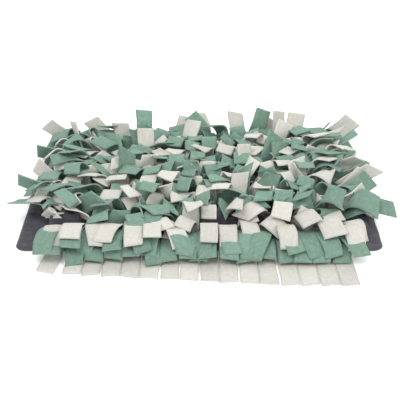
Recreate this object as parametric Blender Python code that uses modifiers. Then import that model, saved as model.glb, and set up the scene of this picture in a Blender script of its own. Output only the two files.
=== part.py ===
"""Snuffle mat: a hemmed cloth base under seven rows of fleece fringe, in metres.

The base lies flat on z = 0 with its centre at the origin. X runs along the rows,
and the front edge, over which the first row of fringe lies, faces -Y.
Each row is a cream band with a green band on top of it, sewn down along one seam.
Both long sides of a band are slit into tabs that bend up and lean over the row in front.
"""

import math
import random

import bmesh
import bpy

BASE_LENGTH = 0.500
BASE_DEPTH = 0.340
BASE_CLOTH = 0.003
HEM_WIDTH = 0.012
HEM_THICKNESS = 0.0048
HEM_SOFTENING = 0.0012
CORNER_RADIUS = 0.016
CORNER_STEPS = 4
EDGE_STEPS = 5
EDGE_WANDER = 0.0012

PLEAT_HEIGHT = 0.0065
PLEAT_WIDTH = 0.0055
PLEAT_CREST = 0.0016
PLEAT_WANDER = 0.0010
PLEAT_STEPS = 8
PLEAT_SINK = 0.001

ROWS = 7
ROW_PITCH = 0.046
COLUMNS = 16
TAB_PITCH = 0.025
TAB_WIDTH = 0.0230
FLEECE = 0.002
GAP = 0.0005
CREAM_HALF_SEAM = 0.0090
GREEN_HALF_SEAM = 0.0035
TAB_LOWER = 0.037
TAB_UPPER = 0.045
TAB_LENGTH_SPREAD = 0.003
TIP_SKEW = 0.006

LIFT_SPREAD = 4.0
CURL_SPREAD = 6.0
LEAN_STEP = 1.0
STEEPEST_LIFT = 130
NEAREST_BELOW = 13
STACK_CLEARANCE = FLEECE + 0.0015

EDGE_CLEARANCE = 0.002
FLOOR_GAP = 0.0003
FRINGE_REACH = 0.089
FRINGE_TOUCHDOWN = 0.024

SPLAY = 0.034
SPLAY_POWER = 4
SPLAY_HEIGHT = 0.050
SWAY = 0.22
SWAY_ALONG = 0.210
SWAY_ACROSS = 0.400
FRINGE_FAN = 0.05

SEED = 11

# Degrees above the surface, leaning forward: the lift of a tab's lower part and the curl of its
# upper part, for the cream and green tabs in front of the seam and the green and cream behind it.
LEANS = (
    {"row": 1, "cream_front": (0, 0), "green_front": (34, -20), "green_rear": (48, -24), "cream_rear": (56, -20)},
    {"row": 2, "cream_front": (46, -14), "green_front": (48, -10), "green_rear": (52, -6), "cream_rear": (56, -2)},
    {"row": 3, "cream_front": (44, 0), "green_front": (48, 3), "green_rear": (52, 7), "cream_rear": (57, 10)},
    {"row": 4, "cream_front": (42, 6), "green_front": (46, 9), "green_rear": (51, 12), "cream_rear": (57, 14)},
    {"row": 5, "cream_front": (42, 8), "green_front": (46, 11), "green_rear": (52, 14), "cream_rear": (58, 17)},
    {"row": 6, "cream_front": (44, 10), "green_front": (50, 14), "green_rear": (57, 19), "cream_rear": (66, 24)},
    {"row": 7, "cream_front": (48, 12), "green_front": (56, 18), "green_rear": (68, 24), "cream_rear": (92, 30)},
)

MATERIALS = {
    "grey_cloth": {"color": (0.094, 0.090, 0.108), "roughness": 0.90},
    "green_fleece": {"color": (0.238, 0.366, 0.292), "roughness": 0.95},
    "cream_fleece": {"color": (0.640, 0.630, 0.580), "roughness": 0.95},
}


def clear_scene():
    for obj in list(bpy.data.objects):
        bpy.data.objects.remove(obj, do_unlink=True)


def collection(name, hidden=False):
    made = bpy.data.collections.new(name)
    made.hide_render = hidden
    bpy.context.scene.collection.children.link(made)
    return made


def material(name):
    made = bpy.data.materials.new(name)
    made.use_nodes = True
    shader = made.node_tree.nodes["Principled BSDF"]
    shader.inputs["Base Color"].default_value = (*MATERIALS[name]["color"], 1.0)
    shader.inputs["Roughness"].default_value = MATERIALS[name]["roughness"]
    shader.inputs["Metallic"].default_value = 0.0
    return made


def mesh_object(name, bm, where, look):
    mesh = bpy.data.meshes.new(name)
    bm.to_mesh(mesh)
    bm.free()
    obj = bpy.data.objects.new(name, mesh)
    obj.data.materials.append(look)
    where.objects.link(obj)
    return obj


# The base.


def base_outline():
    """The corners' arcs joined by sides that wander a little, anticlockwise from the front right."""
    wander = random.Random(SEED)
    half_x = BASE_LENGTH / 2 - CORNER_RADIUS
    half_y = BASE_DEPTH / 2 - CORNER_RADIUS
    centres = ((half_x, -half_y), (half_x, half_y), (-half_x, half_y), (-half_x, -half_y))
    points = []
    for index, (x, y) in enumerate(centres):
        for step in range(CORNER_STEPS + 1):
            angle = math.radians(90 * (index - 1 + step / CORNER_STEPS))
            points.append((x + CORNER_RADIUS * math.cos(angle), y + CORNER_RADIUS * math.sin(angle)))
        points.extend(side_points(points[-1], centres[(index + 1) % 4], index, wander))
    return points


def side_points(start, next_centre, index, wander):
    """The points between two corners, each a little inside the straight side."""
    outward = math.radians(90 * index)
    end = (
        next_centre[0] + CORNER_RADIUS * math.cos(outward),
        next_centre[1] + CORNER_RADIUS * math.sin(outward),
    )
    points = []
    for step in range(1, EDGE_STEPS):
        share = step / EDGE_STEPS
        inward = wander.uniform(0, EDGE_WANDER)
        x = start[0] + (end[0] - start[0]) * share - inward * math.cos(outward)
        y = start[1] + (end[1] - start[1]) * share - inward * math.sin(outward)
        points.append((x, y))
    return points


def base_panel(where, look):
    bm = bmesh.new()
    corners = [bm.verts.new((x, y, 0)) for x, y in base_outline()]
    bottom = bm.faces.new(corners)
    raised = bmesh.ops.extrude_face_region(bm, geom=[bottom], use_keep_orig=True)
    top = next(item for item in raised["geom"] if isinstance(item, bmesh.types.BMFace))
    bmesh.ops.translate(bm, vec=(0, 0, HEM_THICKNESS - HEM_SOFTENING), verts=top.verts)
    bmesh.ops.recalc_face_normals(bm, faces=bm.faces)
    bmesh.ops.inset_region(bm, faces=[top], thickness=HEM_SOFTENING, depth=HEM_SOFTENING)
    bmesh.ops.inset_region(bm, faces=[top], thickness=HEM_WIDTH, depth=0)
    bmesh.ops.inset_region(bm, faces=[top], thickness=HEM_SOFTENING, depth=BASE_CLOTH - HEM_THICKNESS)
    return mesh_object("base", bm, where, look)


def row_seam(row):
    """The y of a row's seam, where row 0 is at the front."""
    return (row - (ROWS - 1) / 2) * ROW_PITCH


def pleat(row, where):
    """The ridge that the base is gathered into behind a row, as uneven in height as in line."""
    wander = random.Random(SEED + row)
    length = COLUMNS * TAB_PITCH
    middle = row_seam(row) + ROW_PITCH / 2
    low = BASE_CLOTH - PLEAT_SINK
    bm = bmesh.new()
    sections = []
    for step in range(PLEAT_STEPS + 1):
        share = step / PLEAT_STEPS
        ends = min(1.0, 3 * share, 3 * (1 - share))
        x = (share - 0.5) * length
        y = middle + wander.uniform(-PLEAT_WANDER, PLEAT_WANDER)
        high = BASE_CLOTH + PLEAT_HEIGHT * (0.15 + 0.85 * ends) * wander.uniform(0.8, 1.0)
        corners = (
            (x, y - PLEAT_WIDTH / 2, low),
            (x, y - PLEAT_CREST / 2, high),
            (x, y + PLEAT_CREST / 2, high),
            (x, y + PLEAT_WIDTH / 2, low),
        )
        sections.append([bm.verts.new(corner) for corner in corners])
    for one, two in zip(sections, sections[1:]):
        for side in range(4):
            after = (side + 1) % 4
            bm.faces.new((one[side], one[after], two[after], two[side]))
    bm.faces.new(sections[0])
    bm.faces.new(reversed(sections[-1]))
    bmesh.ops.recalc_face_normals(bm, faces=bm.faces)
    mesh = bpy.data.meshes.new(f"pleat_{row + 1}")
    bm.to_mesh(mesh)
    bm.free()
    obj = bpy.data.objects.new(mesh.name, mesh)
    obj.display_type = "WIRE"
    where.objects.link(obj)
    return obj


def join_pleats(base, cutters):
    for row in range(ROWS - 1):
        union = base.modifiers.new(f"pleat_{row + 1}", "BOOLEAN")
        union.operation = "UNION"
        union.solver = "EXACT"
        union.object = pleat(row, cutters)


# The fringe. A tab's side view is a path of (y, z) points from its seam to its tip.


def path_from(root, parts):
    """A side view that leaves root and follows (length, degrees above forward) parts."""
    path = [root]
    for length, degrees in parts:
        y, z = path[-1]
        angle = math.radians(degrees)
        path.append((y - length * math.cos(angle), z + length * math.sin(angle)))
    return path


def point_to_part(point, start, end):
    along = (end[0] - start[0], end[1] - start[1])
    off = (point[0] - start[0], point[1] - start[1])
    square = along[0] ** 2 + along[1] ** 2
    share = max(0.0, min(1.0, (off[0] * along[0] + off[1] * along[1]) / square))
    return math.hypot(off[0] - share * along[0], off[1] - share * along[1])


def side_of(point, start, end):
    return (end[0] - start[0]) * (point[1] - start[1]) - (end[1] - start[1]) * (point[0] - start[0])


def parts_cross(a, b, c, d):
    return side_of(a, c, d) * side_of(b, c, d) < 0 and side_of(c, a, b) * side_of(d, a, b) < 0


def clearance(one, two):
    """The least distance between two side views, or 0 where they cross."""
    least = math.inf
    for a, b in zip(one, one[1:]):
        for c, d in zip(two, two[1:]):
            if parts_cross(a, b, c, d):
                return 0.0
            ends = (
                point_to_part(a, c, d),
                point_to_part(b, c, d),
                point_to_part(c, a, b),
                point_to_part(d, a, b),
            )
            least = min(least, *ends)
    return least


def cream_height():
    return BASE_CLOTH + GAP + FLEECE / 2


def green_height():
    return cream_height() + FLEECE + GAP


def lowest_front_path():
    """The first row's cream tabs, over the hem and down onto the surface that the mat lies on."""
    front = -BASE_DEPTH / 2
    over_hem = HEM_THICKNESS + EDGE_CLEARANCE + FLEECE / 2
    on_floor = FLOOR_GAP + FLEECE / 2
    return [
        (row_seam(0) - CREAM_HALF_SEAM, cream_height()),
        (front + HEM_WIDTH, over_hem),
        (front - EDGE_CLEARANCE - FLEECE, over_hem),
        (front - FRINGE_TOUCHDOWN, on_floor),
        (front - FRINGE_REACH, on_floor),
    ]


def clears(path, below):
    return all(clearance(path, other) >= STACK_CLEARANCE for other in below)


def lean_until_clear(root, lean, lengths, below):
    """A tab's side view: as low as its lean asks, or just high enough to clear those it lies on."""
    for lift in steps_up(lean[0], STEEPEST_LIFT):
        if not clears(path_from(root, ((lengths[0], lift),)), below):
            continue
        for curl in steps_up(lean[1], lift):
            path = path_from(root, ((lengths[0], lift), (lengths[1], curl)))
            if clears(path[1:], below):
                return path
    raise ValueError(f"no room for the tab that starts at {root}")


def steps_up(lowest, highest):
    """Angles from the lowest to the highest, LEAN_STEP apart."""
    steps = max(0, math.ceil((highest - lowest) / LEAN_STEP))
    return [lowest + step * LEAN_STEP for step in range(steps + 1)]


def column_paths(column):
    """The side views of one column's tabs, by (row, place), stacked from the front to the rear."""
    chance = random.Random(SEED * COLUMNS + column)
    roots = {
        "cream_front": (-CREAM_HALF_SEAM, cream_height()),
        "green_front": (-GREEN_HALF_SEAM, green_height()),
        "green_rear": (GREEN_HALF_SEAM, green_height()),
        "cream_rear": (CREAM_HALF_SEAM, cream_height()),
    }
    paths = {(0, "cream_front"): lowest_front_path()}
    for leans in LEANS:
        row = leans["row"] - 1
        for place, (off_seam, height) in roots.items():
            if (row, place) in paths:
                continue
            root = (row_seam(row) + off_seam, height)
            lift = leans[place][0] + chance.uniform(-LIFT_SPREAD, LIFT_SPREAD)
            curl = leans[place][1] + chance.uniform(-CURL_SPREAD, CURL_SPREAD)
            lower = TAB_LOWER + chance.uniform(-TAB_LENGTH_SPREAD, TAB_LENGTH_SPREAD)
            upper = TAB_UPPER + chance.uniform(-TAB_LENGTH_SPREAD, TAB_LENGTH_SPREAD)
            below = list(paths.values())[-NEAREST_BELOW:]
            paths[row, place] = lean_until_clear(root, (lift, curl), (lower, upper), below)
    return paths


def cut_back(path, length):
    """The side view again, with its tip that much shorter."""
    (y, z), (tip_y, tip_z) = path[-2:]
    share = 1 - length / math.hypot(tip_y - y, tip_z - z)
    return [*path[:-1], (y + (tip_y - y) * share, z + (tip_z - z) * share)]


def swayed(x, y, z):
    """The place of a point once the pile sways and splays, which moves it along the row only."""
    outward = math.copysign(abs(2 * x / (COLUMNS * TAB_PITCH)) ** SPLAY_POWER, x)
    splay = SPLAY * outward * (z / SPLAY_HEIGHT)
    sway = SWAY * z * math.sin(math.tau * (x / SWAY_ALONG + y / SWAY_ACROSS))
    front = max(0.0, -BASE_DEPTH / 2 - y) / FRINGE_REACH
    return (x * (1 + FRINGE_FAN * front) + splay + sway, y, z)


def band_sheet(row, colour, half_seam, height, stack):
    """A band's mid surface: a strip along the seam, with a tab on either side in each column."""
    bm = bmesh.new()
    chance = random.Random(f"{colour}{row}")
    seam = row_seam(row)
    edges = [(column - COLUMNS / 2) * TAB_PITCH for column in range(COLUMNS + 1)]
    front = [bm.verts.new((x, seam - half_seam, height)) for x in edges]
    rear = [bm.verts.new((x, seam + half_seam, height)) for x in edges]
    slit = (TAB_PITCH - TAB_WIDTH) / 2
    for column in range(COLUMNS):
        bm.faces.new((front[column], front[column + 1], rear[column + 1], rear[column]))
        for place, roots in (("front", front), ("rear", rear)):
            last = (roots[column], roots[column + 1])
            path = stack[column][row, f"{colour}_{place}"]
            sides = (cut_back(path, chance.uniform(0, TIP_SKEW)), cut_back(path, chance.uniform(0, TIP_SKEW)))
            for one, two in zip(sides[0][1:], sides[1][1:]):
                left = bm.verts.new(swayed(edges[column] + slit, *one))
                right = bm.verts.new(swayed(edges[column + 1] - slit, *two))
                bm.faces.new((last[0], left, right, last[1]))
                last = (left, right)
    bmesh.ops.recalc_face_normals(bm, faces=bm.faces)
    return bm


def band(row, colour, half_seam, height, stack, where, look):
    name = f"{colour}_band_{row + 1}"
    obj = mesh_object(name, band_sheet(row, colour, half_seam, height, stack), where, look)
    thicken = obj.modifiers.new("fleece", "SOLIDIFY")
    thicken.thickness = FLEECE
    thicken.offset = 0.0
    thicken.use_even_offset = False


def build():
    clear_scene()
    mat = collection("snuffle_mat")
    cutters = collection("snuffle_mat_helpers", hidden=True)
    looks = {name: material(name) for name in MATERIALS}
    join_pleats(base_panel(mat, looks["grey_cloth"]), cutters)
    stack = [column_paths(column) for column in range(COLUMNS)]
    for row in range(ROWS):
        band(row, "cream", CREAM_HALF_SEAM, cream_height(), stack, mat, looks["cream_fleece"])
        band(row, "green", GREEN_HALF_SEAM, green_height(), stack, mat, looks["green_fleece"])


build()
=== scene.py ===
"""Looks for the snuffle mat: the hemmed base cloth, and the fleece fringe whose tabs fall in a simulation."""

import math
import random

import bmesh
import bpy
import numpy as np
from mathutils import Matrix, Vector, noise
from mathutils.bvhtree import BVHTree


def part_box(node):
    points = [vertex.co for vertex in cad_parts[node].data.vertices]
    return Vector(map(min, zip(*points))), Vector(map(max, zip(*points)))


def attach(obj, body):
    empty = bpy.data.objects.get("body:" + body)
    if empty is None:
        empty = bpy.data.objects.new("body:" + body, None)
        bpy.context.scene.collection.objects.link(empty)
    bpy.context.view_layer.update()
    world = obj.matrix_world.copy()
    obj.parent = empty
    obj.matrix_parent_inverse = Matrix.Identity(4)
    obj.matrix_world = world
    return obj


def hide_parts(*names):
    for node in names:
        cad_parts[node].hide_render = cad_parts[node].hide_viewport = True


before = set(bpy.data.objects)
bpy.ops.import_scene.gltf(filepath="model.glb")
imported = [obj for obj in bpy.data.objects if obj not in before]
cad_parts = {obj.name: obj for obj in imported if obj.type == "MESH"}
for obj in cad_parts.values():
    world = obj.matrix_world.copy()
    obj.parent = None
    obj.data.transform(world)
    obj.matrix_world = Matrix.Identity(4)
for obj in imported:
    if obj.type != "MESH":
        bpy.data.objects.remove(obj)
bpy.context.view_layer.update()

# Distances are in metres and angles in degrees, unless a comment says otherwise.

# The mat's layout, as in the CAD. Rows are counted from the front and columns from the left.
ROWS = 7
ROW_PITCH = 0.046
COLUMNS = 16
TAB_PITCH = 0.025
TAB_WIDTH = 0.0240
HALF_ROW = COLUMNS * TAB_PITCH / 2
FLEECE = 0.0019
HALF_SEAM = {"cream": 0.0090, "green": 0.0035}
SEAM_HEIGHT = {"cream": 0.0045, "green": 0.0070}

# The base cloth: its own thickness, its hem, its rounded edge and corners, and how far its edge wanders.
BASE_LOW, BASE_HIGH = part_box("base")
BASE_CLOTH = 0.003
BASE_THINNEST = 0.0016
HEM_THICKNESS = 0.0048
HEM_WIDTH = 0.012
HEM_STEP = 0.0009
EDGE_ROUND = 0.004
EDGE_THICKNESS = 0.0004
CORNER_RADIUS = 0.016
EDGE_WANDER = 0.0016
WANDER_REACH = 0.02
# The pucker along the hem's stitches.
PUCKER_HEIGHT = 0.00035
PUCKER_PITCH = 0.0105
PUCKER_WIDTH = 0.006
# Uneven height all over the base, coarse and fine.
UNEVEN = 0.0011
FINE_UNEVEN = 0.0006
# The low pleats between the rows: their height, half width and wander, how even their crest is, and where
# they fade out past the ends of a row.
PLEAT_HEIGHT = 0.0065
PLEAT_SHARE = 0.85
PLEAT_HALF_WIDTH = 0.0026
PLEAT_WANDER = 0.0012
CREST_MEAN = 0.75
CREST_CHANGE = 0.5
PLEAT_REACH = 0.042
PLEAT_FADE_REACH = 0.03
PLEAT_FADE_LENGTH = 0.05
# A fold is wider and wavier than a pleat, and fully so from this height on.
FOLD_FULL = 0.02
FOLD_MORE_WIDTH = 0.0016
FOLD_WAVE = 0.0024
FOLD_END = 0.010
CRUMPLE_MEAN = 0.86
CRUMPLE_CHANGE = 0.5
# Folds of the base cloth that stand up between two rows: the row in front, left end, right end and height.
FOLDS = (
    (0, -0.212, -0.158, 0.036),
    (0, -0.012, 0.176, 0.030),
    (0, 0.214, 0.240, 0.018),
    (2, 0.166, 0.212, 0.036),
    (2, 0.044, 0.070, 0.034),
    (3, -0.212, -0.182, 0.034),
    (5, -0.110, -0.078, 0.036),
    (5, 0.072, 0.104, 0.036),
)
# Creases of the base cloth: where they start and end, their height and their half width.
CREASES = (
    (-0.246, -0.140, -0.196, -0.166, 0.0046, 0.0036),
    (-0.236, -0.110, -0.222, -0.166, 0.0038, 0.0030),
    (-0.249, -0.124, -0.215, -0.142, 0.0032, 0.0028),
    (0.206, -0.150, 0.246, -0.128, 0.0016, 0.0030),
    (0.214, -0.104, 0.232, -0.166, 0.0014, 0.0035),
    (-0.246, 0.020, -0.212, 0.034, 0.0018, 0.0030),
    (0.212, 0.060, 0.246, 0.044, 0.0020, 0.0030),
    (0.208, 0.122, 0.240, 0.160, 0.0024, 0.0032),
    (-0.240, 0.150, -0.206, 0.124, 0.0020, 0.0030),
)
# Steps of the base's grid along X and Y, and of the coarser one that the tabs fall on.
BASE_STEPS = (150, 124)
COLLIDER_STEPS = (100, 84)
EDGE_EASING = 0.045

# Every tab. The spreads are the least and the most of a random draw.
SEED = 20
TAB_LENGTH = 0.084
TAB_STEPS = 7
LENGTH_SPREAD = (0.93, 1.03)
TINT_SPREAD = (0.9, 1.06)
CUP = 0.0016
TIP_SKEW = 0.005
RAGGED = 0.0007

# The loose tabs at their start: how far they lean forward, splay out and twist.
ROW_LEANS = (20, 21, 20, 19, 19, 20, 27)
LAYER_LEANS = {("cream", "front"): 24, ("green", "front"): 11, ("green", "rear"): -3, ("cream", "rear"): -15}
# A fold of the base taller than this keeps the front tabs of the row behind it upright.
FOLD_IN_THE_WAY = 0.012
FOLD_LEANS = {"cream": 10, "green": 4}
FIRST_ROW_REAR_LEAN = -10
SPLAY = 0.46
START_TWIST = 15
REST_TWIST = 40
END_TURN = 66
# The parts of a tab's length where its twist starts, and over which it grows.
TWIST_FROM = 0.15
TWIST_PART = 0.6

# The first row's cream front tabs lie over the hem and out on the floor, and farther towards the right.
FRINGE_STEPS = 9
FRINGE_REACH = (0.057, 0.087)
FRINGE_FULL_COLUMN = COLUMNS - 4
FRINGE_OVER_HEM = 0.0030
FRINGE_ON_FLOOR = 0.0013
FRINGE_DROP = (0.004, 0.024)
# Their turn in radians: at the ends of the row, more for the first one, and its spread.
FRINGE_FAN = 0.05
FIRST_TAB_FAN = 0.12
FRINGE_FAN_SPREAD = 0.01
# The first row's green front tabs lie on them. Their turn is in radians and their bends in 1/m.
GREEN_FAN_SPREAD = 0.05
GREEN_LEAN = 58
GREEN_LEAN_SPREAD = (-6, 4)
GREEN_LENGTH_SPREAD = (0.83, 0.91)
GREEN_BEND_NEAR = (11, 17)
GREEN_BEND_FAR = (12, 17)
# The first row's rear tabs lie over its front ones, but for the cream ones of some columns at the right,
# which fall. Below, each part's lean at the seam and its bend near and far, in 1/m.
LEFT_COLUMNS = 7
LAID_RIGHT_COLUMNS = (8, 9, 12, 15)
FIRST_ROW_REAR = {
    ("green", "left"): (20, 34, 12),
    ("cream", "left"): (8, 34, 14),
    ("green", "right"): (38, 26, 8),
    ("cream", "right"): (14, 26, 24),
}
REAR_LEAN_SPREAD = (-3, 3)
REAR_BEND_NEAR_SPREAD = (-2, 2)
REAR_BEND_FAR_SPREAD = (-5, 8)
REAR_TWIST = 16
REAR_END_TURN = 20

# The fall.
FRAMES = 56
CLOTH = {
    "quality": 6,
    "mass": 0.0005,
    "air_damping": 2.0,
    "tension_stiffness": 5.0,
    "compression_stiffness": 5.0,
    "shear_stiffness": 3.0,
    "bending_stiffness": 0.05,
    "bending_damping": 0.05,
}
HELD_STEPS = 2
SELF_DISTANCE = 0.0026
BASE_DISTANCE = 0.0012
FLOOR_DISTANCE = 0.0010
TURBULENCE = 0.03

# The arch of a loose end after the fall: where it starts, each tab's own share of it, and the shares of that
# to try.
CURL_STEP = 3
CURL = (0.55, 1.15)
CURL_CHOICES = (1.0, 1.4, 0.7, 1.8, 0.4, 2.2, 2.6, -0.4)
CURL_PASSES = 2
# A flat tab's arch first rises and then drops, and an upright one's only drops, by a little more.
ARCH_RISE = 34
ARCH_DROP = 84
UPRIGHT_DROP = 16
ARCH_HASTE = 1.7
ABOVE_GROUND = 0.0016
# Limits of the pile, the way its tabs' ends are to face, and what a choice pays or gains for them.
TOP = 0.078
BACK = 0.188
PILE_HEIGHT = 0.056
FACING = (0.0, -0.76, 0.65)
FACING_STEPS = 3
OUTSIDE_COST = 2000
HIGH_COST = 260
FACING_GAIN = 7
RANK_COST = 0.2

# How far apart on its cloth each tab is cut: by column, from front to rear, by row, and along by column.
COLUMN_SHIFT = 0.05
REAR_SHIFT = 0.7
ROW_SHIFT = 1.9
LENGTH_SHIFT = 0.37

# Colours of each cloth: the main tone, a darker one and a paler one. The paler one is also painted on as
# highlight, on the fleece's cut edges and in patches on the base cloth.
GREEN = ((0.185, 0.288, 0.230, 1), (0.125, 0.222, 0.172, 1), (0.34, 0.46, 0.395, 1))
CREAM = ((0.570, 0.560, 0.510, 1), (0.470, 0.460, 0.410, 1), (0.720, 0.710, 0.665, 1))
GREY = ((0.098, 0.094, 0.112, 1), (0.050, 0.048, 0.060, 1), (0.150, 0.146, 0.165, 1))

# The camera's lens in millimetres, its place and how far it looks down. The lights aim at the middle.
LENS = 88.6
CAMERA_PLACE = (0.001, BASE_LOW.y - 1.147, 0.667)
CAMERA_DOWN = 27.2
SKY_STRENGTH = 0.86
LIGHTS = (
    ("key", (-0.5, -0.7, 1.5), 0.9, 10.5),
    ("fill", (0.9, -0.9, 0.9), 1.0, 6),
    ("back", (0.2, 1.1, 1.1), 0.9, 7),
)


def row_seam(row):
    return (row - (ROWS - 1) / 2) * ROW_PITCH


def link(obj):
    bpy.context.scene.collection.objects.link(obj)
    return obj


def mesh_object(name, verts, faces):
    mesh = bpy.data.meshes.new(name)
    mesh.from_pydata([tuple(map(float, v)) for v in verts], [], faces)
    return link(bpy.data.objects.new(name, mesh))


def apply_modifiers(obj):
    evaluated = obj.evaluated_get(bpy.context.evaluated_depsgraph_get())
    made = bpy.data.meshes.new_from_object(evaluated)
    obj.modifiers.clear()
    old, obj.data = obj.data, made
    bpy.data.meshes.remove(old)


# Camera, light and floor.


def camera():
    data = bpy.data.cameras.new("camera")
    data.lens = LENS
    data.clip_end = 20
    obj = link(bpy.data.objects.new("camera", data))
    obj.location = CAMERA_PLACE
    obj.rotation_euler = (math.radians(90 - CAMERA_DOWN), 0, 0)
    bpy.context.scene.camera = obj


def area_light(name, place, size, power):
    data = bpy.data.lights.new(name, "AREA")
    data.shape = "SQUARE"
    data.size = size
    data.energy = power
    obj = link(bpy.data.objects.new(name, data))
    obj.location = place
    obj.rotation_euler = (-Vector(place)).to_track_quat("-Z", "Y").to_euler()


def studio():
    world = bpy.data.worlds.new("studio")
    bpy.context.scene.world = world
    world.use_nodes = True
    sky = world.node_tree.nodes["Background"]
    sky.inputs["Color"].default_value = (1.0, 1.0, 1.0, 1.0)
    sky.inputs["Strength"].default_value = SKY_STRENGTH
    for light in LIGHTS:
        area_light(*light)
    bpy.context.scene.view_settings.view_transform = "Standard"


def floor():
    bpy.ops.mesh.primitive_plane_add(size=12)
    obj = bpy.context.object
    obj.name = "floor"
    made = bpy.data.materials.new("paper")
    made.use_nodes = True
    shader = made.node_tree.nodes["Principled BSDF"]
    shader.inputs["Base Color"].default_value = (0.95, 0.95, 0.95, 1)
    shader.inputs["Roughness"].default_value = 0.9
    shader.inputs["Specular IOR Level"].default_value = 0.0
    shader.inputs["Emission Color"].default_value = (1, 1, 1, 1)
    shader.inputs["Emission Strength"].default_value = 0.12
    obj.data.materials.append(made)
    return obj


# Materials.


def node(tree, kind, **inputs):
    made = tree.nodes.new(kind)
    for name, value in inputs.items():
        made.inputs[name].default_value = value
    return made


def mixed(tree, factor, one, two, mode="MIX"):
    """A colour mix of two sockets or colours."""
    mix = tree.nodes.new("ShaderNodeMix")
    mix.data_type = "RGBA"
    mix.blend_type = mode
    for socket, value in ((0, factor), (6, one), (7, two)):
        if isinstance(value, bpy.types.NodeSocket):
            tree.links.new(value, mix.inputs[socket])
        else:
            mix.inputs[socket].default_value = value
    return mix.outputs[2]


def ranged(tree, value, low, high, to_low=0.0, to_high=1.0):
    """A value brought from one range to another."""
    made = node(tree, "ShaderNodeMapRange")
    for index, limit in enumerate((low, high, to_low, to_high), 1):
        made.inputs[index].default_value = limit
    tree.links.new(value, made.inputs[0])
    return made.outputs[0]


def noise_of(tree, coordinates, scale, stretch=(1, 1, 1), detail=3.0, rough=0.6):
    mapping = node(tree, "ShaderNodeMapping")
    mapping.inputs["Scale"].default_value = stretch
    tree.links.new(coordinates, mapping.inputs["Vector"])
    made = node(tree, "ShaderNodeTexNoise", Scale=scale, Detail=detail, Roughness=rough)
    tree.links.new(mapping.outputs[0], made.inputs["Vector"])
    return made.outputs["Fac"]


def fleece(name, colour, shade, pale, rim=False):
    """Brushed fleece: mottled nap in clumps, fine streaks along the strip, and with rim set a painted
    highlight on the cut edges, mixed in from the paler tone.
    """
    made = bpy.data.materials.new(name)
    made.use_nodes = True
    tree = made.node_tree
    shader = tree.nodes["Principled BSDF"]
    along = node(tree, "ShaderNodeUVMap")
    along.uv_map = "cloth"
    tint = node(tree, "ShaderNodeAttribute")
    tint.attribute_name = "tint"
    streaks = noise_of(tree, along.outputs[0], 260, (3.2, 0.35, 1), 4, 0.7)
    clumps = noise_of(tree, along.outputs[0], 180, (1, 0.8, 1), 4, 0.65)
    patches = noise_of(tree, along.outputs[0], 34, (1, 1, 1), 2, 0.5)
    tone = mixed(tree, ranged(tree, streaks, 0.36, 0.66, 0.0, 0.55), colour, shade)
    tone = mixed(tree, ranged(tree, clumps, 0.45, 0.75, 0.0, 0.45), tone, pale)
    tone = mixed(tree, ranged(tree, patches, 0.4, 0.7, 0.0, 0.22), tone, shade)
    tone = mixed(tree, 1.0, tone, tint.outputs["Color"], "MULTIPLY")
    # Painted highlight: the cut edges get the paler tone mixed in, standing in for light caught along the
    # edges.
    if rim:
        tone = mixed(tree, 0.45, tone, pale)
    tree.links.new(tone, shader.inputs["Base Color"])
    tree.links.new(ranged(tree, clumps, 0.3, 0.7, 0.86, 1.0), shader.inputs["Roughness"])
    shader.inputs["Specular IOR Level"].default_value = 0.12
    shader.inputs["Sheen Weight"].default_value = 0.35
    shader.inputs["Sheen Roughness"].default_value = 0.45
    shader.inputs["Sheen Tint"].default_value = pale
    fuzz = noise_of(tree, along.outputs[0], 900, (1, 0.7, 1), 3, 0.7)
    height = mixed(tree, 0.4, clumps, fuzz)
    height = mixed(tree, 0.35, height, streaks)
    bump = node(tree, "ShaderNodeBump", Strength=0.7, Distance=0.0009)
    tree.links.new(height, bump.inputs["Height"])
    tree.links.new(bump.outputs[0], shader.inputs["Normal"])
    return made


def woven(name, colour, shade, pale):
    """Matt base cloth: a fine slubbed weave with paler patches painted in as highlights of crumpled cloth."""
    made = bpy.data.materials.new(name)
    made.use_nodes = True
    tree = made.node_tree
    shader = tree.nodes["Principled BSDF"]
    place = node(tree, "ShaderNodeTexCoord").outputs["Object"]
    warp = noise_of(tree, place, 420, (4, 0.35, 0.35), 3, 0.6)
    weft = noise_of(tree, place, 420, (0.35, 4, 0.35), 3, 0.6)
    patches = noise_of(tree, place, 26, (1, 1, 1), 3, 0.55)
    weave = mixed(tree, 0.5, warp, weft)
    tone = mixed(tree, ranged(tree, weave, 0.38, 0.64), shade, colour)
    # Painted highlight: paler patches scattered at random over the base, standing in for light on crumpled
    # cloth.
    tone = mixed(tree, ranged(tree, patches, 0.45, 0.75, 0.0, 0.5), tone, pale)
    tree.links.new(tone, shader.inputs["Base Color"])
    tree.links.new(ranged(tree, patches, 0.3, 0.7, 0.72, 0.92), shader.inputs["Roughness"])
    shader.inputs["Specular IOR Level"].default_value = 0.25
    shader.inputs["Sheen Weight"].default_value = 0.25
    shader.inputs["Sheen Tint"].default_value = pale
    bump = node(tree, "ShaderNodeBump", Strength=0.55, Distance=0.0005)
    tree.links.new(weave, bump.inputs["Height"])
    tree.links.new(bump.outputs[0], shader.inputs["Normal"])
    return made


# The tabs before they fall. Each is a grid of points, two across at every step along.


def splayed(point):
    """Leans the ends of a row outward, more the higher the point is."""
    x, y, z = point
    outward = abs(x / HALF_ROW) ** 3
    return (x + math.copysign(SPLAY * outward * max(0.0, z - SEAM_HEIGHT["green"]), x), y, z)


def bent_path(length, start, bend_near, bend_far):
    """(forward, up) points of a strip that starts at an angle from upright and bends forward, in 1/m."""
    path = [(0.0, 0.0)]
    part = length / TAB_STEPS
    angle = start
    for step in range(TAB_STEPS):
        share = (step + 0.5) / TAB_STEPS
        half_turn = (bend_near + (bend_far - bend_near) * share) * part * 0.5
        angle += half_turn
        path.append((path[-1][0] + part * math.sin(angle), path[-1][1] + part * math.cos(angle)))
        angle += half_turn
    return path


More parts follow.
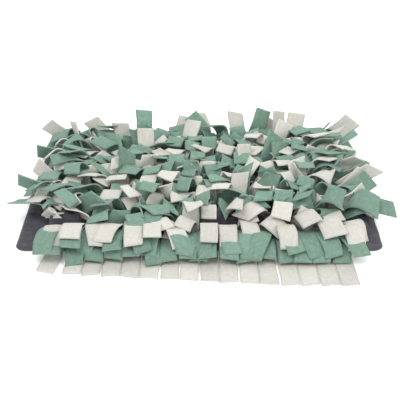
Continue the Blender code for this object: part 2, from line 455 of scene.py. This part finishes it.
def fringe_path(column):
    """The first row's cream tabs: over the hem, down and out on the floor, as (forward, up) from the seam."""
    root = -row_seam(0) + HALF_SEAM["cream"]
    front = -BASE_LOW.y
    near, far = FRINGE_REACH
    reach = near + (far - near) * min(1.0, column / FRINGE_FULL_COLUMN)
    over_hem = HEM_THICKNESS + FRINGE_OVER_HEM - SEAM_HEIGHT["cream"]
    on_floor = FRINGE_ON_FLOOR - SEAM_HEIGHT["cream"]
    corners = [
        (0, 0),
        (front - HEM_WIDTH - root, over_hem),
        (front + FRINGE_DROP[0] - root, over_hem),
        (front + FRINGE_DROP[1] - root, on_floor),
        (front + reach - root, on_floor),
    ]
    lengths = [0.0]
    for (a, b), (c, d) in zip(corners, corners[1:]):
        lengths.append(lengths[-1] + math.hypot(c - a, d - b))
    steps = np.linspace(0, lengths[-1], FRINGE_STEPS + 1)
    forward = np.interp(steps, lengths, [c[0] for c in corners])
    up = np.interp(steps, lengths, [c[1] for c in corners])
    return list(zip(forward, up))


class Tab:
    """One tab: which one it is, its uneven cut, and its points at the start, after the fall and at last."""

    def __init__(self, row, colour, side, column, chance):
        self.row, self.colour, self.side, self.column = row, colour, side, column
        self.tint = chance.uniform(*TINT_SPREAD)
        self.cup = chance.uniform(-CUP, CUP)
        self.skew = chance.uniform(-TIP_SKEW, TIP_SKEW)
        self.ragged = [[chance.uniform(-RAGGED, RAGGED) for _ in range(2)] for _ in range(FRINGE_STEPS + 1)]
        half = HALF_SEAM[colour]
        self.root = (
            (column + 0.5 - COLUMNS / 2) * TAB_PITCH,
            row_seam(row) + (-half if side == "front" else half),
            SEAM_HEIGHT[colour],
        )
        self.outward = self.root[0] / HALF_ROW
        self.fan = 0.0
        laid_column = column < LEFT_COLUMNS or column in LAID_RIGHT_COLUMNS
        self.laid = row == 0 and (side == "front" or colour == "green" or laid_column)
        self.curl = chance.uniform(*CURL)
        path, twist = self.shape(chance)
        self.steps = len(path) - 1
        self.start_grid = [splayed(point) for point in self.grid(path, twist)]
        more = 0.0 if self.laid else math.radians(chance.gauss(0, REST_TWIST))
        self.rest_grid = self.grid(path, twist + more)

    def shape(self, chance):
        """The side view at the start, and the twist."""
        length = TAB_LENGTH * chance.uniform(*LENGTH_SPREAD)
        if self.row == 0 and self.side == "front":
            if self.colour == "cream":
                return self.cream_fringe(chance)
            return self.green_fringe(length, chance)
        if self.laid:
            return self.laid_rear(length, chance)
        twist = math.radians(chance.gauss(0, START_TWIST) + END_TURN * self.outward**3)
        return bent_path(length, math.radians(self.lean()), 0, 0), twist

    def cream_fringe(self, chance):
        more = FIRST_TAB_FAN if self.column == 0 else 0.0
        self.fan = FRINGE_FAN * self.outward - more + chance.uniform(-FRINGE_FAN_SPREAD, FRINGE_FAN_SPREAD)
        return fringe_path(self.column), 0.0

    def green_fringe(self, length, chance):
        self.fan = chance.uniform(-GREEN_FAN_SPREAD, GREEN_FAN_SPREAD)
        start = math.radians(GREEN_LEAN + chance.uniform(*GREEN_LEAN_SPREAD))
        length *= chance.uniform(*GREEN_LENGTH_SPREAD)
        near = chance.uniform(*GREEN_BEND_NEAR)
        far = chance.uniform(*GREEN_BEND_FAR)
        return bent_path(length, start, near, far), 0.0

    def laid_rear(self, length, chance):
        lean, near, far = FIRST_ROW_REAR[self.colour, "left" if self.column < LEFT_COLUMNS else "right"]
        lean = math.radians(lean + chance.uniform(*REAR_LEAN_SPREAD))
        near += chance.uniform(*REAR_BEND_NEAR_SPREAD)
        far += chance.uniform(*REAR_BEND_FAR_SPREAD)
        twist = math.radians(chance.gauss(0, REAR_TWIST) + REAR_END_TURN * self.outward**3)
        return bent_path(length, lean, near, far), twist

    def lean(self):
        """How far forward a loose tab leans at the start."""
        if self.side == "front" and fold_height(self.root[0], self.row - 1) > FOLD_IN_THE_WAY:
            return FOLD_LEANS[self.colour]
        if self.side == "rear" and self.row == 0:
            return FIRST_ROW_REAR_LEAN
        return ROW_LEANS[self.row] + LAYER_LEANS[self.colour, self.side]

    def grid(self, path, twist):
        """Two points, left and right, at each step of the path, which turns with the twist."""
        points = []
        x, y, z = self.root
        forward = 0.0
        for step, (reach, up) in enumerate(path):
            turn = self.fan + twist * min(1.0, max(0.0, step / (len(path) - 1) - TWIST_FROM) / TWIST_PART)
            x += (reach - forward) * math.sin(turn)
            y -= (reach - forward) * math.cos(turn)
            forward = reach
            for side in (-0.5, 0.5):
                off = side * TAB_WIDTH
                points.append((x + off * math.cos(turn), y + off * math.sin(turn), z + up))
        return points

    def faces(self, first, across=1):
        """The tab's faces, where its points start at the number first and are across faces wide."""
        wide = across + 1
        quads = []
        for step in range(self.steps):
            for k in range(across):
                corner = first + step * wide + k
                quads.append((corner, corner + 1, corner + wide + 1, corner + wide))
        return quads

    def curled(self, curl):
        """The fallen tab with an arched end: up from what it lies on and then down, or forward if upright."""
        fallen = self.fallen.reshape(-1, 2, 3)
        middle = fallen.mean(axis=1)
        along = middle[-1] - middle[CURL_STEP]
        along /= np.linalg.norm(along)
        normal = np.cross(fallen[CURL_STEP, 1] - fallen[CURL_STEP, 0], along)
        normal /= np.linalg.norm(normal)
        if normal[1] + normal[2] < 0:
            normal = -normal
        upright = max(0.0, along[2])
        first, last = ARCH_RISE * (1 - upright), -ARCH_DROP - UPRIGHT_DROP * upright
        pairs = fallen.copy()
        place = middle[CURL_STEP]
        for step in range(CURL_STEP, self.steps):
            share = min(1.0, ARCH_HASTE * (step - CURL_STEP) / (self.steps - CURL_STEP - 1))
            angle = math.radians(curl * (first + (last - first) * share))
            part = np.linalg.norm(middle[step + 1] - middle[step])
            place = place + part * (math.cos(angle) * along + math.sin(angle) * normal)
            pairs[step + 1] += place - middle[step + 1]
        for point in pairs.reshape(-1, 3):
            inside = abs(point[0]) < BASE_HIGH.x and abs(point[1]) < BASE_HIGH.y
            ground = base_height(point[0], point[1]) if inside else 0.0
            point[2] = max(point[2], ABOVE_GROUND + ground)
        return pairs.reshape(-1, 3)

    def cupped(self):
        """Three points across at each step: the unevenly cut sides, and a middle that bulges a little."""
        pairs = self.places.reshape(-1, 2, 3)
        across = pairs[:, 1] - pairs[:, 0]
        ragged = np.array(self.ragged)[1 : self.steps + 1]
        pairs[1:, 0] += across[1:] / TAB_WIDTH * ragged[:, :1]
        pairs[1:, 1] += across[1:] / TAB_WIDTH * ragged[:, 1:]
        tip = pairs[-1].mean(axis=0) - pairs[-2].mean(axis=0)
        tip *= self.skew / 2 / np.linalg.norm(tip)
        pairs[-1, 0] -= tip
        pairs[-1, 1] += tip
        middle = pairs.mean(axis=1)
        along = np.gradient(middle, axis=0)
        normal = np.cross(across, along)
        normal /= np.maximum(np.linalg.norm(normal, axis=1, keepdims=True), 1e-9)
        share = np.minimum(1.0, np.arange(self.steps + 1) / 2)[:, None]
        middle = middle + normal * share * self.cup
        self.length = float(np.linalg.norm(np.diff(middle, axis=0), axis=1).sum())
        return np.stack([pairs[:, 0], middle, pairs[:, 1]], axis=1).reshape(-1, 3)


def all_tabs():
    chance = random.Random(SEED)
    tabs = []
    for row in range(ROWS):
        for column in range(COLUMNS):
            for colour in ("cream", "green"):
                for side in ("front", "rear"):
                    tabs.append(Tab(row, colour, side, column, chance))
    return tabs


# The fall.


def falling_cloth(tabs):
    """Every tab at its start as one object, with its rest shape and a group of the points that are held."""
    verts, faces, pins = [], [], []
    for tab in tabs:
        tab.first = len(verts)
        held = len(tab.start_grid) if tab.laid else 2 * HELD_STEPS
        pins.extend(range(tab.first, tab.first + held))
        faces.extend(tab.faces(tab.first))
        verts.extend(tab.start_grid)
    cloth = mesh_object("falling", verts, faces)
    cloth.shape_key_add(name="start")
    rest = cloth.shape_key_add(name="rest")
    rest.data.foreach_set("co", np.array([p for tab in tabs for p in tab.rest_grid], np.float32).ravel())
    rest.value = 0.0
    cloth.vertex_groups.new(name="seam").add(pins, 1.0, "REPLACE")
    return cloth


def fall_of(cloth):
    """Gives the tabs their cloth simulation, in which they touch each other and what lies below."""
    fall = cloth.modifiers.new("fall", "CLOTH")
    for name, value in CLOTH.items():
        setattr(fall.settings, name, value)
    fall.settings.vertex_group_mass = "seam"
    fall.settings.rest_shape_key = cloth.data.shape_keys.key_blocks["rest"]
    contact = fall.collision_settings
    contact.use_self_collision = True
    contact.self_distance_min = SELF_DISTANCE
    contact.self_friction = 5
    contact.collision_quality = 3
    contact.distance_min = BASE_DISTANCE
    return fall


def collider(source, name, distance):
    obj = link(bpy.data.objects.new(name, source.data.copy()))
    obj.modifiers.new("collision", "COLLISION")
    obj.collision.thickness_outer = distance
    return obj


def gusts():
    """Uneven pushes, so that neighbouring tabs fall apart."""
    bpy.ops.object.effector_add(type="TURBULENCE", location=(0, 0, 0.03))
    obj = bpy.context.object
    obj.field.strength = TURBULENCE
    obj.field.size = 0.05
    obj.field.seed = SEED
    obj.field.flow = 0
    return obj


def settle(tabs, ground):
    """Lets the tabs fall on each other, the base and the floor, and then arches their ends."""
    cloth = falling_cloth(tabs)
    fall = fall_of(cloth)
    coarse = mesh_object("base_shape", *base_grid(*COLLIDER_STEPS))
    base_stop = collider(coarse, "base_stop", BASE_DISTANCE)
    floor_stop = collider(ground, "floor_stop", FLOOR_DISTANCE)
    pushes = gusts()
    scene = bpy.context.scene
    scene.frame_start, scene.frame_end = 1, FRAMES
    fall.point_cache.frame_start, fall.point_cache.frame_end = 1, FRAMES
    for moment in range(1, FRAMES + 1):
        scene.frame_set(moment)
    fallen = cloth.evaluated_get(bpy.context.evaluated_depsgraph_get())
    places = np.empty(len(fallen.data.vertices) * 3, np.float32)
    fallen.data.vertices.foreach_get("co", places)
    places = places.reshape(-1, 3)
    for tab in tabs:
        tab.places = tab.fallen = places[tab.first : tab.first + len(tab.start_grid)].astype(float)
    curl_ends(tabs)
    for obj in (cloth, pushes, coarse, base_stop, floor_stop):
        bpy.data.objects.remove(obj, do_unlink=True)
    scene.frame_set(1)


def facing(points):
    """How squarely a stretch of a tab faces forward and up, from 0 to 1."""
    pairs = points.reshape(-1, 2, 3)
    across = pairs[1:, 1] - pairs[1:, 0]
    along = np.diff(pairs.mean(axis=1), axis=0)
    normals = np.cross(across, along)
    normals /= np.linalg.norm(normals, axis=1, keepdims=True)
    return float(np.abs(normals @ np.array(FACING)).mean())


def curl_score(tab, tried, around):
    """What tried points cost: past the pile's limits, high up or through other tabs, less their facing."""
    outside = max(0.0, tried[:, 2].max() - TOP) + max(0.0, tried[:, 1].max() - BACK)
    high = max(0.0, tried[:, 2].max() - PILE_HEIGHT)
    crossed = len(BVHTree.FromPolygons(tried.tolist(), tab.faces(0)).overlap(around))
    gain = FACING_GAIN * facing(tried[-2 * FACING_STEPS :])
    return OUTSIDE_COST * outside + HIGH_COST * high + crossed - gain


def curl_ends(tabs):
    """Gives each loose tab the cheapest arch of a few near its own, one tab after another from the front."""
    places = np.concatenate([tab.places for tab in tabs])
    faces = [tab.faces(tab.first) for tab in tabs]
    order = sorted(range(len(tabs)), key=lambda at: tabs[at].root[1])
    for index in order * CURL_PASSES:
        tab = tabs[index]
        if tab.laid:
            continue
        others = [face for at, group in enumerate(faces) if at != index for face in group]
        around = BVHTree.FromPolygons(places.tolist(), others)
        best = None
        for rank, choice in enumerate(CURL_CHOICES):
            tried = tab.curled(tab.curl * choice)
            score = curl_score(tab, tried, around) + RANK_COST * rank
            if best is None or score < best[0]:
                best = (score, tried)
        tab.places = best[1]
        places[tab.first : tab.first + len(tab.places)] = tab.places


# The bands.


def band_grid(row, members):
    """A band's points and faces, with a place on the cloth and a tint for each point."""
    verts, faces, uvs, tints = [], [], [], []
    first = {}
    for key, tab in members.items():
        first[key] = len(verts)
        offset = COLUMN_SHIFT * tab.column + (REAR_SHIFT if tab.side == "rear" else 0.0) + ROW_SHIFT * row
        length = 0.0
        places = tab.cupped()
        for index, point in enumerate(places):
            step, k = divmod(index, 3)
            if k == 0 and step:
                length += float(np.linalg.norm(point - places[index - 3]))
            verts.append(point)
            uvs.append((offset + k / 2 * TAB_WIDTH, length + LENGTH_SHIFT * tab.column))
            tints.append(tab.tint)
        faces.extend(tab.faces(first[key], across=2))
    for column in range(COLUMNS):
        front, rear = first["front", column], first["rear", column]
        for k in range(2):
            faces.append((front + k + 1, front + k, rear + k, rear + k + 1))
        if column:
            near, far = first["front", column - 1] + 2, first["rear", column - 1] + 2
            faces.append((front, near, far, rear))
    return verts, faces, uvs, tints


def mark(mesh, uvs, tints):
    """Stores each point's place on the cloth and its tint, for the material."""
    layer = mesh.uv_layers.new(name="cloth")
    tint = mesh.color_attributes.new("tint", "FLOAT_COLOR", "POINT")
    for loop in mesh.loops:
        layer.data[loop.index].uv = uvs[loop.vertex_index]
    for index, value in enumerate(tints):
        tint.data[index].color = (value, value, value, 1)


def face_one_way(mesh):
    bm = bmesh.new()
    bm.from_mesh(mesh)
    bmesh.ops.recalc_face_normals(bm, faces=bm.faces)
    bm.to_mesh(mesh)
    bm.free()


def thicken(obj):
    """Smooths a sheet and gives it the fleece's thickness, with the second material on its cut edges."""
    smooth = obj.modifiers.new("smooth", "SUBSURF")
    smooth.levels = smooth.render_levels = 2
    smooth.boundary_smooth = "PRESERVE_CORNERS"
    thick = obj.modifiers.new("thick", "SOLIDIFY")
    thick.thickness = FLEECE
    thick.offset = 0.0
    thick.material_offset_rim = 1
    apply_modifiers(obj)


def band(row, colour, tabs, looks):
    """One band: the strip along its seam and every tab on both sides, as one sheet given its thickness."""
    members = {(tab.side, tab.column): tab for tab in tabs if tab.row == row and tab.colour == colour}
    verts, faces, uvs, tints = band_grid(row, members)
    obj = mesh_object(f"{colour}_fleece_row_{row + 1}", verts, faces)
    mark(obj.data, uvs, tints)
    face_one_way(obj.data)
    for look in looks:
        obj.data.materials.append(look)
    obj.data.shade_smooth()
    thicken(obj)
    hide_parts(f"{colour}_band_{row + 1}")
    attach(obj, "root")


# The base.


def rounded(x, y):
    """A point of the plain rectangle, moved in where the corners are round."""
    half_x, half_y = BASE_HIGH.x, BASE_HIGH.y
    dx, dy = abs(x) - (half_x - CORNER_RADIUS), abs(y) - (half_y - CORNER_RADIUS)
    if dx <= 0 or dy <= 0:
        return x, y
    pull = max(dx, dy) / math.hypot(dx, dy)
    return (
        math.copysign(half_x - CORNER_RADIUS + dx * pull, x),
        math.copysign(half_y - CORNER_RADIUS + dy * pull, y),
    )


def edge_distance(x, y):
    """How far a point of the base is inside its edge."""
    dx, dy = BASE_HIGH.x - abs(x), BASE_HIGH.y - abs(y)
    if dx < CORNER_RADIUS and dy < CORNER_RADIUS:
        return CORNER_RADIUS - math.hypot(CORNER_RADIUS - dx, CORNER_RADIUS - dy)
    return min(dx, dy)


def bell(value, width):
    return math.exp(-((value / width) ** 2))


def fold_height(x, gap):
    """How high the base cloth's fold stands at x in the gap behind a row, counted from 0."""
    height = 0.0
    for where, left, right, top in FOLDS:
        if where == gap and left < x < right:
            end = min(1.0, min(x - left, right - x) / FOLD_END)
            crumple = CRUMPLE_MEAN + CRUMPLE_CHANGE * noise.noise((x * 60, gap * 7, 4))
            height = max(height, top * crumple * end * end * (3 - 2 * end))
    return height


def crease_height(x, y):
    height = 0.0
    for x0, y0, x1, y1, top, half in CREASES:
        length = math.hypot(x1 - x0, y1 - y0)
        share = ((x - x0) * (x1 - x0) + (y - y0) * (y1 - y0)) / length**2
        if 0 < share < 1:
            off = ((x - x0) * (y1 - y0) - (y - y0) * (x1 - x0)) / length
            height += top * bell(off, half) * math.sin(math.pi * share) ** 0.7
    return height


def hemmed_height(x, y, inside):
    """The cloth's thickness, doubled at the hem and puckered along the hem's stitches."""
    hem = 1 / (1 + math.exp((inside - HEM_WIDTH) / HEM_STEP))
    sway = 3 * noise.noise((x * 20, y * 20, 2))
    pucker = PUCKER_HEIGHT * math.sin((x + y) * 2 * math.pi / PUCKER_PITCH + sway)
    return BASE_CLOTH + (HEM_THICKNESS - BASE_CLOTH) * hem + pucker * bell(inside - HEM_WIDTH, PUCKER_WIDTH)


def pleated(height, x, y):
    """The height with the pleats and folds between the rows added to it."""
    if abs(x) >= HALF_ROW + PLEAT_REACH:
        return height
    ends = max(0.0, min(1.0, (HALF_ROW + PLEAT_FADE_REACH - abs(x)) / PLEAT_FADE_LENGTH))
    for row in range(ROWS - 1):
        middle = row_seam(row) + ROW_PITCH / 2 + PLEAT_WANDER * noise.noise((x * 30, row, 3))
        crest = (CREST_MEAN + CREST_CHANGE * noise.noise((x * 55, row * 5, 1))) * ends
        fold = fold_height(x, row)
        grown = min(1.0, fold / FOLD_FULL)
        wave = FOLD_WAVE * noise.noise((x * 48, row * 3, 8)) * grown
        width = PLEAT_HALF_WIDTH + FOLD_MORE_WIDTH * grown
        height += max(PLEAT_HEIGHT * PLEAT_SHARE * crest, fold) * bell(y - middle - wave, width)
    return height


def base_height(x, y):
    """The top of the base cloth: its hem, its unevenness, the creases, and the pleats and folds."""
    inside = edge_distance(x, y)
    roll = math.sqrt(max(0.0, 1 - (1 - min(inside, EDGE_ROUND) / EDGE_ROUND) ** 2))
    height = hemmed_height(x, y, inside)
    height += UNEVEN * noise.noise((x * 38, y * 38, 0)) + FINE_UNEVEN * noise.noise((x * 90, y * 90, 7))
    height += crease_height(x, y)
    height = pleated(height, x, y)
    return max(BASE_THINNEST, height) * roll + EDGE_THICKNESS * (1 - roll)


def eased(value, half):
    """Brings the grid's lines closer together near the edge."""
    share = value / half
    return half * (share + EDGE_EASING * math.sin(math.pi * share))


def base_grid(columns, rows):
    """The base cloth's points and faces: its top by base_height, its rim and its flat underside."""
    top, bottom = [], []
    for j in range(rows + 1):
        for i in range(columns + 1):
            x = (i / columns - 0.5) * 2 * BASE_HIGH.x
            y = (j / rows - 0.5) * 2 * BASE_HIGH.y
            x, y = rounded(eased(x, BASE_HIGH.x), eased(y, BASE_HIGH.y))
            wander = EDGE_WANDER * bell(edge_distance(x, y), WANDER_REACH)
            shift = wander * noise.noise((x * 14, y * 14, 5))
            place = (x - math.copysign(abs(shift), x), y - math.copysign(abs(shift), y))
            top.append((*place, base_height(x, y)))
            bottom.append((*place, 0.0))
    faces = []
    wide = columns + 1
    under = len(top)
    for j in range(rows):
        for i in range(columns):
            a = j * wide + i
            faces.append((a, a + 1, a + wide + 1, a + wide))
            faces.append((under + a, under + a + wide, under + a + wide + 1, under + a + 1))
    rim = list(range(wide)) + [j * wide + columns for j in range(1, rows + 1)]
    rim += [rows * wide + i for i in range(columns - 1, -1, -1)] + [j * wide for j in range(rows - 1, 0, -1)]
    for one, two in zip(rim, rim[1:] + rim[:1]):
        faces.append((one, under + one, under + two, two))
    return top + bottom, faces


def base_cloth(look):
    obj = mesh_object("base_cloth", *base_grid(*BASE_STEPS))
    obj.data.materials.append(look)
    obj.data.shade_smooth()
    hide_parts("base")
    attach(obj, "root")


def build():
    camera()
    studio()
    ground = floor()
    looks = {
        "green": [fleece("green_fleece", *GREEN), fleece("green_cut_edge_painted_highlight", *GREEN, rim=True)],
        "cream": [fleece("cream_fleece", *CREAM), fleece("cream_cut_edge_painted_highlight", *CREAM, rim=True)],
    }
    grey = woven("grey_cloth", *GREY)
    tabs = all_tabs()
    settle(tabs, ground)
    base_cloth(grey)
    for row in range(ROWS):
        for colour in ("cream", "green"):
            band(row, colour, tabs, looks[colour])


build()
bpy.context.view_layer.update()
